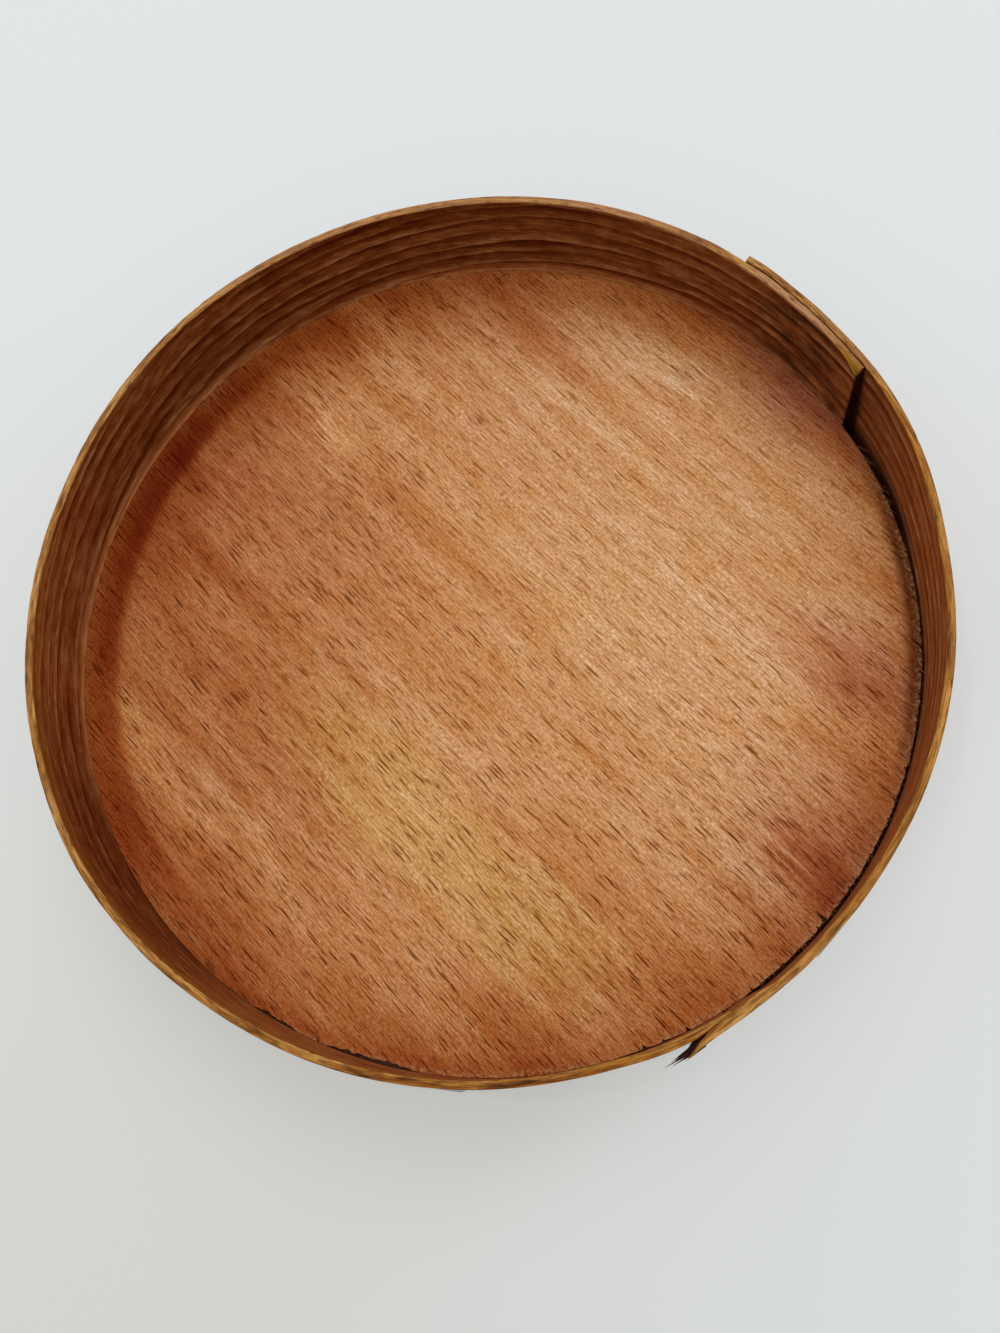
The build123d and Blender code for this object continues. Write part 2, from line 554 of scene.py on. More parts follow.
# %% Bend the short strip
short_strip = spin_strip(TORN_END, LAP_END - TORN_END)
round_rim(short_strip)
in_strip, wear_and_painted_shade = add_layers(short_strip)
remember_wood(short_strip, in_strip, TORN_END)
for vert in short_strip.verts:
    along, depth, height = vert[in_strip]
    angle = degrees(along / PANEL_RADIUS)
    share = depth / STRIP_THICKNESS
    if angle < TEAR_START:
        full = (TEAR_START - angle) / (TEAR_START - TORN_END)
        angle += full * torn_back(height, share)
    out, up = wear(SHORT_SEED, along, share, height, 1 - 0.9 * ease(angle, 29, 32))
    inner, outer = short_inner(angle), short_outer(angle)
    radius = inner + share * (outer - inner) + rim_lean(angle) * above_panel(height) + out
    vert.co = at(radius, angle, height + up)
    tear = 0.30 + 0.55 * ease(angle, -62.4, -64.2)
    tear_and_painted_shade = ease(angle, -61.0, -62.0) * ease(share, tear, tear - 0.35)
    # painted shade on the inner face, deepening towards the lap
    dirt_and_painted_shade = 0.3 * ease(angle, 14, 27) * (1 - share) * ease(height, HOOP_HEIGHT, HOOP_HEIGHT - 0.8)
    # the tear, and the painted shadow and shade, share one dark red mask
    tear_and_painted_shade = max(tear_and_painted_shade, dirt_and_painted_shade, end_shade(angle, height, share))
    blotched = ease(angle, 38, 43) * ease(angle, 54.5, 51)
    on_right = ease(angle, 36, 26)
    pink = 0.3 + 0.2 * wave(8, along / 14) - 0.2 * blotched - (0.55 - 0.3 * share) * on_right
    golden = 0.12 * ease(angle, 33, 28) * ease(angle, -56, -46)
    vert[wear_and_painted_shade] = (pink, golden - 0.6 * blotched, tear_and_painted_shade)
print("short strip:", len(short_strip.faces), "faces")

# %% [markdown]
# A splinter is a long thin cone lying along the strip. Each is one small cone, flattened a little,
# turned onto the tangent and set at the torn end.

# %% Splinters
SPLINTERS = [
    # height, radius, root angle, length, thickness, lean outward in degrees
    (17.5, 56.95, -63.3, 3.9, 0.42, 4),
    (17.1, 57.15, -63.6, 2.8, 0.34, 6),
    (17.4, 56.70, -63.0, 3.3, 0.40, 5),
    (17.3, 56.50, -62.7, 3.2, 0.40, 6),
    (17.2, 56.30, -62.3, 3.1, 0.36, 8),
    (16.9, 56.15, -61.9, 3.0, 0.34, 9),
    (16.6, 56.60, -62.7, 3.1, 0.44, 8),
    (16.0, 56.45, -62.4, 3.2, 0.44, 8),
    (15.2, 56.80, -62.9, 2.6, 0.44, 6),
    (14.3, 57.1, -62.0, 2.9, 0.24, 10),
    (11.2, 57.0, -61.8, 2.6, 0.28, 7),
    (8.1, 57.1, -62.2, 2.4, 0.22, 11),
    (5.2, 57.0, -62.0, 2.2, 0.26, 6),
    (2.2, 56.9, -62.0, 2.0, 0.24, 8),
]


def add_cone(bm, segments, thickness, tip, length, flatness, way, place):
    """A thin cone of fibres from that place, pointing that way, as its points."""
    new = bmesh.ops.create_cone(
        bm, cap_ends=True, segments=segments, radius1=thickness / 2, radius2=tip, depth=length
    )["verts"]
    bmesh.ops.translate(bm, verts=new, vec=(0, 0, length / 2))
    bmesh.ops.scale(bm, verts=new, vec=(flatness, 1.0, 1.0))
    turn = Vector((0, 0, 1)).rotation_difference(way).to_matrix()
    bmesh.ops.rotate(bm, verts=new, cent=(0, 0, 0), matrix=turn)
    bmesh.ops.translate(bm, verts=new, vec=place)
    return new


def add_splinter(bm, layers, height, radius, angle, length, thickness, lean):
    """A splinter pointing on from the torn end."""
    way, root = at(1, angle - 90 + lean, 0), at(radius, angle, height)
    for vert in add_cone(bm, 6, thickness, 0.015, length, 0.6, way, root):
        vert[layers[0]] = (vert.co.x * 3, 0.4, vert.co.z)
        vert[layers[1]] = (0, 0, 1.0)


for splinter in SPLINTERS:
    add_splinter(short_strip, (in_strip, wear_and_painted_shade), *splinter)
print("splinters:", len(SPLINTERS))

# %% [markdown]
# ## The face veneer
#
# The panel's top ply was cut out with a saw or punch. Its grain runs from the upper left to the
# lower right, so the cut is clean where it runs along the grain and ragged where it crosses it.
# A circle of many short edges is filled and given its thickness. Then each edge point moves back
# along the grain by an amount that depends on which bundle of fibres it belongs to.

# %% The veneer's ragged edge
EDGE_POINTS = 2160
GRAIN = radians(-45)
OPEN_FROM, OPEN_TO = -60.0, 31
SPLIT_HALF_WIDTH = 0.13
grain_way = Vector((cos(GRAIN), sin(GRAIN), 0))
cross_way = Vector((-sin(GRAIN), cos(GRAIN), 0))


def raggedness(angle):
    """How rough the cut is there, in mm: worst where the short strip stands off the panel."""
    rough = 0.04
    rough += 0.28 * ease(angle, -58, -48) * ease(angle, 34, 24)
    rough += 0.20 * ease(angle, -82, -76) * ease(angle, -62, -67)
    rough += 0.18 * ease(angle, -138, -130) * ease(angle, -98, -106)
    return rough


CRACKS = [(-103.3, 6.2, 0.50), (-117.0, 3.4, 0.35)]


def crack(angle):
    """How far the edge stands back where the panel has come away from the hoop, in mm."""
    deepest = 0.0
    for middle, half, depth in CRACKS:
        open_here = 1 - abs(angle - middle) / half
        if open_here > 0:
            ragged = 0.75 + 0.6 * wave(52, angle / 0.9)
            deepest = max(deepest, depth * min(1.0, 2.2 * open_here) * ragged)
    return deepest


def frayed_edge(point, angle):
    """How far back an edge point lies, in mm along the grain."""
    across = point.dot(cross_way)
    bundles = 0.5 + 0.5 * wave(40, across / 1.1, angle / 9) + 0.35 * wave(41, across / 0.32, angle / 5)
    crossing = abs(point.normalized().dot(grain_way))
    return max(0.0, bundles) * raggedness(angle) * (0.35 + 0.65 * crossing)


print("raggedness on the right:", round(raggedness(0), 2), "mm")

# %% Cut the face veneer
bm = bmesh.new()
bmesh.ops.create_circle(bm, cap_ends=True, radius=PANEL_RADIUS, segments=EDGE_POINTS)
bmesh.ops.translate(bm, verts=bm.verts, vec=(0, 0, FACE_BASE))
top = bmesh.ops.extrude_face_region(bm, geom=bm.faces[:], use_keep_orig=True)["geom"]
top_verts = [v for v in top if isinstance(v, bmesh.types.BMVert)]
bmesh.ops.translate(bm, verts=top_verts, vec=(0, 0, FACE_TOP - FACE_BASE))
bmesh.ops.recalc_face_normals(bm, faces=bm.faces)

draw = Random(7)
splits = []
angle = OPEN_FROM
while angle < OPEN_TO:
    angle += draw.uniform(2.5, 7.0)
    splits.append((angle, draw.uniform(0.4, 1.9) * draw.choice((0.5, 1.0)), SPLIT_HALF_WIDTH))
splits += [(-62.5, 0.7, 0.25), (-65.8, 0.6, 0.2), (-68.3, 0.8, 0.3), (-40.5, 1.9, 0.3), (-1.5, 2.4, 0.22)]
for vert in bm.verts:
    angle = degrees(atan2(vert.co.y, vert.co.x))
    outward = grain_way if vert.co.dot(grain_way) > 0 else -grain_way
    back = frayed_edge(vert.co, angle)
    for middle, length, half_width in splits:
        off = abs(angle - middle)
        if off < half_width:
            back = max(back, length * (1 - off / half_width))
    vert.co -= outward * back + at(crack(angle), angle, 0)
face_veneer = bm
print("face veneer:", EDGE_POINTS, "edge points,", len(splits), "splits")

# %% [markdown]
# Loose fibres stand out of the ragged edge on the right. They are small cones again, lying along
# the grain, most of them no longer than the gap beside the hoop.

# %% Fibres at the edge
FIBRES = 210


def add_fibre(bm, angle, length, thickness, height, twist):
    """A loose fibre lying along the grain, rooted just inside the panel's edge."""
    way = grain_way.copy() if at(1, angle, 0).dot(grain_way) > 0 else -grain_way
    way.rotate(Matrix.Rotation(radians(twist), 3, "Z"))
    way.z = draw.uniform(-0.15, 0.25)
    add_cone(bm, 5, thickness, 0.01, length, 1.0, way, at(PANEL_RADIUS - 0.45, angle, height))


for _ in range(FIBRES):
    angle = draw.uniform(-56, OPEN_TO)
    gap = 0.35 + 0.7 * ease(angle, 12, OPEN_TO)
    crossing = max(abs(at(1, angle, 0).dot(grain_way)), 0.35)
    length = (0.45 + gap * draw.uniform(0.3, 0.9)) / crossing
    add_fibre(
        face_veneer, angle, length, draw.uniform(0.08, 0.16), FACE_TOP - draw.uniform(0.06, 0.5),
        draw.uniform(-14, 14),
    )  # fmt: skip
print("fibres:", FIBRES)

# %% [markdown]
# ## The face's wood
#
# The panel is rotary-cut beech veneer, stained brown and rubbed. Beech shows its rays as short
# dark spindles, about 2 mm long and 0.2 mm wide, all lying along the grain, over fine streaks from
# its vessels. The stain took unevenly, pale and yellow in places. Near the edge the wood is darker
# and redder: partly stain, and partly painted shade, with painted shadows of the side walls.
# So the pattern is built in grain coordinates: how far along the grain a point lies, and how far
# across it. The grain lies at about 45 degrees and bends very slightly towards the right, which a
# small term in x squared gives, and wanders by half a millimetre, as slow noise.
#
# Two things make the colour darker. The stain works as a power of the wood's colour, so that a
# deeper stain is redder. The fine marks work as a power of a brown filter, so that a fleck is
# brown and not red.


# %% Grain coordinates
LEAST_STAIN = 0.6
GRAIN_WANDER = 0.6
RELIEF = 0.12
STAINED_SHINE = 0.07
BARE_SHINE = 0.25


def grain_coordinates(add, along_weights, across_weights):
    """A vector in mm: along the grain, across it, and 0. The weights are for x, y and x squared."""
    place = add("TexCoord").outputs["Object"]
    in_mm = add("VectorMath scale", {0: place, "Scale": 1 / MM})
    xyz = add("SeparateXYZ", [in_mm])
    squared = add("Math multiply", [xyz.outputs["X"], xyz.outputs["X"]])
    terms = add("CombineXYZ", {"X": xyz.outputs["X"], "Y": xyz.outputs["Y"], "Z": squared})
    along = add("VectorMath dot_product", [terms, along_weights])
    across = add("VectorMath dot_product", [terms, across_weights])
    drift = add("TexNoise", {"Vector": in_mm, "Scale": 1 / 16, "Detail": 4.0})
    wandering = add("MapRange", {"Value": drift, "To": (-GRAIN_WANDER, GRAIN_WANDER)})
    drifted = add("Math add", [across, wandering])
    grain = add("CombineXYZ", {"X": along, "Y": drifted})
    return in_mm, grain


def from_axis(add, place):
    """How far a place lies from the box's upright axis."""
    flat = add("VectorMath multiply", [place, (1, 1, 0)])
    return add("VectorMath length", [flat])


def stretched_noise(add, place, sizes, seed, detail=3.0, roughness=0.55):
    """Noise whose blotches measure that many mm along the grain, across it and upwards."""
    scaled = add("VectorMath multiply_add", [place, [1 / size for size in sizes], (seed, seed, seed)])
    return add("TexNoise", {"Vector": scaled, "Scale": 1.0, "Detail": detail, "Roughness": roughness})


def add_up(add, start, terms):
    """Start, plus each pattern taken that many times. A noise pattern's own middle is 0.5."""
    total = start
    for pattern, times in terms:
        total = add("Math multiply_add", [pattern, times, total])
    return total


def deepen(add, colour, depth):
    """Stain as deep as depth says: a colour's power, so that darker is redder too."""
    at_least = add("Math maximum", [depth, LEAST_STAIN])
    return add("Gamma", {"Color": colour, "Gamma": at_least})


def finish_wood(material, add, colour, relief, roughness, shine):
    """Finish a wood material: its colour, with a little relief, that rough and that shiny."""
    bump = add("Bump", {"Height": relief, "Strength": 0.3, "Distance": RELIEF * MM})
    links = {"Base Color": colour, "Roughness": roughness, "Specular IOR Level": shine, "Normal": bump}
    add("OutputMaterial", {"Surface": add("BsdfPrincipled", links)})
    return material


# %% Ray flecks
FLECKS = [
    # cell along, cell across, half length, half width, darkness, share left out
    (5.2, 0.95, 1.80, 0.115, 1.00, 0.35),
    (3.4, 0.60, 1.25, 0.095, 0.90, 0.30),
    (2.0, 0.36, 0.75, 0.070, 0.60, 0.25),
]
PALE_LINES = [(6.0, 0.9, 2.2, 0.09, 1.0, 0.35)]
print("longest flecks:", [round(2 * size[2], 1) for size in FLECKS], "mm")


def ray_flecks(add, grain, layers, seed):
    """Dark spindles lying along the grain, each cell with one of its own size and darkness."""
    darkest = None
    for number, (cell_along, cell_across, length, width, darkness, left_out) in enumerate(layers):
        shift = seed + 19.7 * number
        cells = add(
            "VectorMath multiply_add", [grain, (1 / cell_along, 1 / cell_across, 0), (shift, shift, 0)]
        )
        points = add("TexVoronoi", {"Vector": cells, "Scale": 1.0}, voronoi_dimensions="2D")
        offset = add("VectorMath subtract", [cells, points.outputs["Position"]])
        sized = add("VectorMath multiply", [offset, (cell_along / length, cell_across / width, 0)])
        parts = add("SeparateXYZ", [sized])
        taper = add("Math power", [parts.outputs["X"], 2.0])
        aside = add("Math absolute", [parts.outputs["Y"]])
        shape = add("Math add", [taper, aside])
        chance = add("SeparateColor", [points.outputs["Color"]])
        size = add("MapRange", {"Value": chance.outputs["Red"], "To": (0.35, 1.25)})
        relative = add("Math divide", [shape, size])
        spindle = add("MapRange", {"Value": relative, "From": (0.35, 1.0), "To": (1.0, 0.0)}, **SMOOTH)
        strength = add(
            "MapRange",
            {"Value": chance.outputs["Green"], "From": (left_out, left_out + 0.5), "To Max": darkness},
        )
        fleck = add("Math multiply", [spindle, strength])
        if darkest:
            fleck = add("Math maximum", [darkest, fleck])
        darkest = fleck
    return darkest


# %% Patches of stain
ALONG_GRAIN = (0.706, -0.708, 0.0)
ACROSS_GRAIN = (0.708, 0.706, -0.0003)
# the dark one at the left edge, at x -46 and y 26, is partly a painted shadow of the left wall
STAIN_PATCHES = [
    # x, y, reach along the grain, reach across it, colour, amount
    (20, 3, 52, 44, "#cf9c6c", 1.0), (-38, -4, 46, 24, "#aa6536", 0.9),
    (-30, 22, 30, 18, "#ad6b40", 0.7), (-9, -24, 34, 11, "#c9985c", 0.8),
    (8, -38, 18, 11, "#c08c50", 0.7), (32, -4, 22, 18, "#d29c6e", 0.8), (20, 36, 26, 9, "#d09868", 0.6),
    (4, 26, 26, 12, "#c98f62", 0.6), (-46, 26, 24, 14, "#a35a2e", 0.8),
    (-38, -36, 28, 12, "#b06636", 0.7), (46, -32, 26, 16, "#b87c5c", 0.7),
    (47, -4, 16, 7, "#b4765a", 0.6), (46, 36, 26, 14, "#ae6f59", 0.8), (0, 50, 26, 9, "#b87448", 0.6),
    (-46, -12, 10, 3.5, "#c98e56", 0.7), (-45, -18, 11, 1.5, "#d8985a", 0.5),
    (-37, -23, 10, 1.3, "#d09258", 0.5), (-29, -27, 9, 1.0, "#d49a62", 0.6),
    (-23, 31, 9, 1.8, "#d8a26c", 0.6), (10, 33, 16, 2.0, "#d4a072", 0.5),
    (25, 38, 1.2, 0.9, "#5f4330", 0.7),
]  # fmt: skip
# the deeper ones at the left edge, near x -48 to -37 and y 14 to 33, also deepen the painted shadow of the
# left wall
DEEP_PATCHES = [
    # x, y, reach along the grain, reach across it, deeper
    (-3, 11, 26, 7, 0.20), (-8, -3, 26, 6, 0.12), (14, -10, 20, 9, 0.14), (14, -30, 18, 6, 0.16),
    (-48, 14, 14, 7, 0.36), (-36, 40, 16, 7, 0.42), (-27, 46, 14, 7, 0.45), (-15, 52, 14, 6, 0.42),
    (2, 51, 14, 6, 0.18), (24, 48, 16, 6, 0.14), (22, 40, 12, 4, -0.28), (28, 46, 9, 3, 0.15),
    (36, 39, 14, 6, 0.10), (47, 24, 16, 6, 0.12), (47, -4, 10, 4, 0.20), (47, -16, 13, 6, 0.35),
    (41, -30, 12, 6, 0.66), (35, -38, 12, 5, 0.15), (28, -43, 12, 6, 0.25), (19, -47, 14, 6, 0.25),
    (5, -51, 14, 6, 0.35), (-10, -51, 18, 6, 0.30), (-26, -38, 20, 6, 0.20), (-42, -34, 16, 4, -0.25),
    (-44, 21, 9, 5, 0.12), (-42, 25, 9, 4, 0.25), (-36, 10, 14, 4, 0.25), (-37, 33, 8, 5, 0.25),
    (-22, 47, 10, 5, 0.45), (-30, 42, 9, 4, 0.22), (-6, 49, 10, 4, 0.15), (-7, 2, 22, 9, 0.12),
    (-22, -12, 20, 4, 0.12), (22, -43, 8, 3, 0.25), (46, -24, 7, 4, 0.20), (46, 8, 14, 3, 0.12),
    (47, -8, 10, 4, 0.20), (11, -46, 10, 5, 0.25), (-38, -37, 12, 4, -0.25), (16, -47, 9, 4, -0.30),
    (-9, -14, 14, 2.5, -0.14), (12, -36, 16, 3, -0.12), (-40, -27, 14, 3, 0.18),
    (-33, -20, 14, 2.5, -0.15), (4, -28, 20, 3, -0.10),
]  # fmt: skip
print(len(STAIN_PATCHES), "patches of colour and", len(DEEP_PATCHES), "of deeper or thinner stain")


# %% A patch with a streaky outline
def feathered(add, grain):
    """Grain coordinates pushed about by long streaks, so that a patch has a streaky outline."""
    feather = stretched_noise(add, grain, (26, 0.7, 1), 61)
    drift = stretched_noise(add, grain, (14, 9, 1), 67, detail=1.0)
    pushed = add("VectorMath multiply_add", [feather, (18.0, 7.0, 0.0), (-9.0, -3.5, 0.0)])
    pushed = add("VectorMath multiply_add", [drift, (4.0, 7.0, 0.0), pushed])
    place = add("VectorMath add", [grain, pushed])
    return add("VectorMath add", [place, (-2.0, -3.5, 0.0)])


def patch(add, place, x, y, reach, width, amount):
    """A soft spot round x, y, that long and wide along the grain."""
    terms = Vector((x, y, x * x))
    along, across = terms.dot(Vector(ALONG_GRAIN)), terms.dot(Vector(ACROSS_GRAIN))
    local = add(
        "VectorMath multiply_add", [place, (1 / reach, 1 / width, 0), (-along / reach, -across / width, 0)]
    )
    soft = add("TexGradient", {"Vector": local}, gradient_type="SPHERICAL")
    return add("MapRange", {"Value": soft.outputs["Fac"], "From Max": 0.8, "To Max": amount}, **SMOOTH)


# %% The face's colour
def face_colour(add, place, grain):
    """Base tan with patches of thin stain, then pinker and yellower mottles, which it gives too."""
    colour = "#c28553"
    for x, y, reach, width, stain, amount in STAIN_PATCHES:
        colour = paint_over(add, colour, [(patch(add, place, x, y, reach, width, amount), stain)])
    mottle = stretched_noise(add, grain, (8, 3.0, 1), 3, detail=2.0)
    pinker = add(
        "ValToRGB", {"Fac": mottle}, stops=[(0.32, "#f6dcd2"), (0.5, "#ffffff"), (0.68, "#fff6da")]
    )
    links = {"Factor": 0.45, "A": colour, "B": pinker}
    return add("Mix", links, data_type="RGBA", blend_type="MULTIPLY"), mottle

def fine_marks(add, streaks, speckle, flecks, pale):
    """Vessel streaks, speckle, dark flecks and pale lines, as a power of a brown filter."""
    fine = add_up(add, 0.04 - 0.5 * (0.85 + 1.5), [(streaks, 0.85), (speckle, 1.5), (pale, -0.25)])
    fine = add("Math maximum", [fine, -0.22])
    return add("Gamma", {"Color": "#ae8950", "Gamma": add_up(add, fine, [(flecks, 1.5)])})

# %% The face's edge
def edge_shade(add, in_mm, radius, way, reach, band, reach_look, band_look):
    """A painted shade where that far towards one side, in a band of the radius, all in mm."""
    towards = add("VectorMath dot_product", [in_mm, way])
    there, in_band = [
        add("MapRange", {"Value": value, "From": (start, end)}, **look)
        for value, (start, end), look in ((towards, reach, reach_look), (radius, band, band_look))
    ]
    return add("Math multiply", [there, in_band])

def frayed_fibres(add, in_mm, radius):
    """Fibres at the very edge that have lost their stain, most of all at the lower right."""
    fuzz = add("TexNoise", {"Vector": in_mm, "Scale": 2.2, "Detail": 2.0}).outputs["Fac"]
    to_lower_right = add("VectorMath dot_product", [in_mm, (1, -1, 0)])
    start = add("MapRange", {"Value": to_lower_right, "From": (15, 40), "To": (54.75, 53.9)})
    past_start = add("Math subtract", [radius, start])
    ring = add("MapRange", {"Value": past_start, "From Max": 0.7, "To Max": 0.5})
    dots = add("MapRange", {"Value": fuzz, "From": (0.45, 0.62)})
    return add("Math multiply", [ring, dots])

# %% The face's material
def make_face_beech():
    """The face veneer's wood: its colour deepened by stain and painted shade, then the marks, then
    the edge: a painted shadow and frayed fibres.
    """
    material = bpy.data.materials.new("stained_rotary_cut_beech")
    add = emptied(material)
    in_mm, grain = grain_coordinates(add, ALONG_GRAIN, ACROSS_GRAIN)
    place = feathered(add, grain)
    colour, mottle = face_colour(add, place, grain)

    # painted shade at the edge: darker all round, partly stain gathered there, partly shade;
    # a painted shadow of the left wall; painted shade at the foot of the lower left wall
    radius = from_axis(add, in_mm)
    near_edge = add("MapRange", {"Value": radius, "From": (47.0, 55.0)}, **SMOOTH)
    left_wall_painted_shadow = edge_shade(add, in_mm, radius, (-1, 0, 0), (22.0, 46.0), (49.4, 51.4), SMOOTH, SMOOTH)
    foot_of_wall = add("MapRange", {"Value": radius, "From": (52.3, 54.5), "To": (1.0, 0.3)})
    left_wall_painted_shadow = add("Math multiply", [left_wall_painted_shadow, foot_of_wall])
    right_wall_painted_shadow = edge_shade(add, in_mm, radius, (0.998, 0.061, 0), (49.5, 53.0), (52.4, 54.0), {}, SMOOTH)
    low_wall_painted_shade = edge_shade(add, in_mm, radius, (-0.5, -0.866, 0), (28.0, 44.0), (52.2, 54.2), {}, {})

    # ray flecks: dark and many at the lower left, faint at the upper right. They come before the
    # deep patches, because after them the material would be too big to render
    flecks, pale = ray_flecks(add, grain, FLECKS, 2.3), ray_flecks(add, grain, PALE_LINES, 5.9)
    from_pale_corner = add("VectorMath distance", [in_mm, (27, 22, FACE_TOP)])
    plain = add("MapRange", {"Value": from_pale_corner, "From": (10.0, 50.0), "To": (0.6, 1.2)}, **SMOOTH)
    flecks, pale = [add("Math multiply", [marks, plain]) for marks in (flecks, pale)]

    # how deep the stain is: slow bands, a little of the vessel streaks and patches, and the
    # painted shade and shadow at the edge
    bands = stretched_noise(add, grain, (60, 3.0, 1), 5, detail=4.0)
    streaks = stretched_noise(add, grain, (4.5, 0.23, 1), 9, detail=3.0, roughness=0.6)
    speckle = stretched_noise(add, grain, (0.5, 0.16, 1), 17, detail=1.0)
    depth = add_up(add, 0.94 - 0.5 * (0.7 + 0.4 + 0.4), [(bands, 0.7), (mottle, 0.4), (streaks, 0.4)])
    depth = add_up(add, depth, [(near_edge, 0.25), (left_wall_painted_shadow, 0.55), (low_wall_painted_shade, 0.3)])
    for deep in DEEP_PATCHES:
        depth = add("Math add", [depth, patch(add, place, *deep)])
    colour = deepen(add, colour, depth)

    # the fine marks, then a painted shadow of the right wall beside the hoop on the right
    for share, darker in ((1.0, fine_marks(add, streaks, speckle, flecks, pale)), (right_wall_painted_shadow, "#a08672")):
        links = {"Factor": share, "A": colour, "B": darker}
        colour = add("Mix", links, data_type="RGBA", blend_type="MULTIPLY")
    colour = paint_over(add, colour, [(frayed_fibres(add, in_mm, radius), "#bd9468")])

    relief = add("Math subtract", [pale, flecks])
    gloss = add("MapRange", {"Value": streaks, "To": (0.5, 0.68)})
    return finish_wood(material, add, colour, relief, gloss, STAINED_SHINE)

face_beech = make_face_beech()
print("face material has", len(face_beech.node_tree.nodes), "nodes")

# %% [markdown]
# ## The hoop's wood
#
# The strips are sliced beech, steamed, bent and stained dark. Growth rings run round the hoop as
# six or seven slow bands, 2.5 mm apart, and climb at the top left. The rim was trimmed after
# staining, so it is golden and its edges are dirty. The pattern reads the place that each point
# remembers, so it follows every bend.


# %% Growth rings
RING_CLIMB = 7.0
RING_WANDER = 4.0
RING_WAVER = 1.0
RING_SPACING = 2.5


def near_place(add, along, middle, from_off, to_off):
    """From 0 that far off a place along the strip, in mm, to 1 that close to it."""
    off = add("Math subtract", [along, middle])
    off = add("Math absolute", [off])
    return add("MapRange", {"Value": off, "From": (from_off, to_off)}, **SMOOTH)


def growth_rings(add, in_strip, along, height):
    """How far a point is in the thin dark line that ends a ring, and how far in its pale start."""
    climb = add("MapRange", {"Value": along, "From": (80.0, 165.0), "To Max": RING_CLIMB})
    wander = stretched_noise(add, in_strip, (45, 4, 8), 1, 2.0, 0.5)
    waver = stretched_noise(add, in_strip, (8, 4, 3), 2, 1.0, 0.5)
    ring_height = add_up(add, height, [(climb, 1.0), (wander, RING_WANDER), (waver, RING_WAVER)])
    rings = add("Math divide", [ring_height, RING_SPACING])
    in_ring = add("Math fract", [rings])
    late = add("MapRange", {"Value": in_ring, "From": (0.45, 0.93)})
    early = add("MapRange", {"Value": in_ring, "From": (0.0, 0.45), "To": (1.0, 0.0)})

    # no two rings are alike, and they fade on the left
    patchy = stretched_noise(add, in_strip, (22, 4, 3.5), 25, 2.0, 0.5)
    clear = add("MapRange", {"Value": patchy, "From": (0.35, 0.6)})
    fading = add("MapRange", {"Value": along, "From": (186.0, 202.0), "To": (1.0, 0.4)})
    clear = add("Math multiply", [clear, fading])
    return [add("Math multiply", [band, clear]) for band in (late, early)]


print("rings across the hoop:", round(HOOP_HEIGHT / RING_SPACING))

# %% The hoop's wall
WALL = [
    # height, colour: warmer at the foot
    (2.7, "#9a5832"), (5.0, "#905028"), (8.0, "#8a4b23"), (12.0, "#8a4b23"), (17.8, "#8a4d22"),
]  # fmt: skip


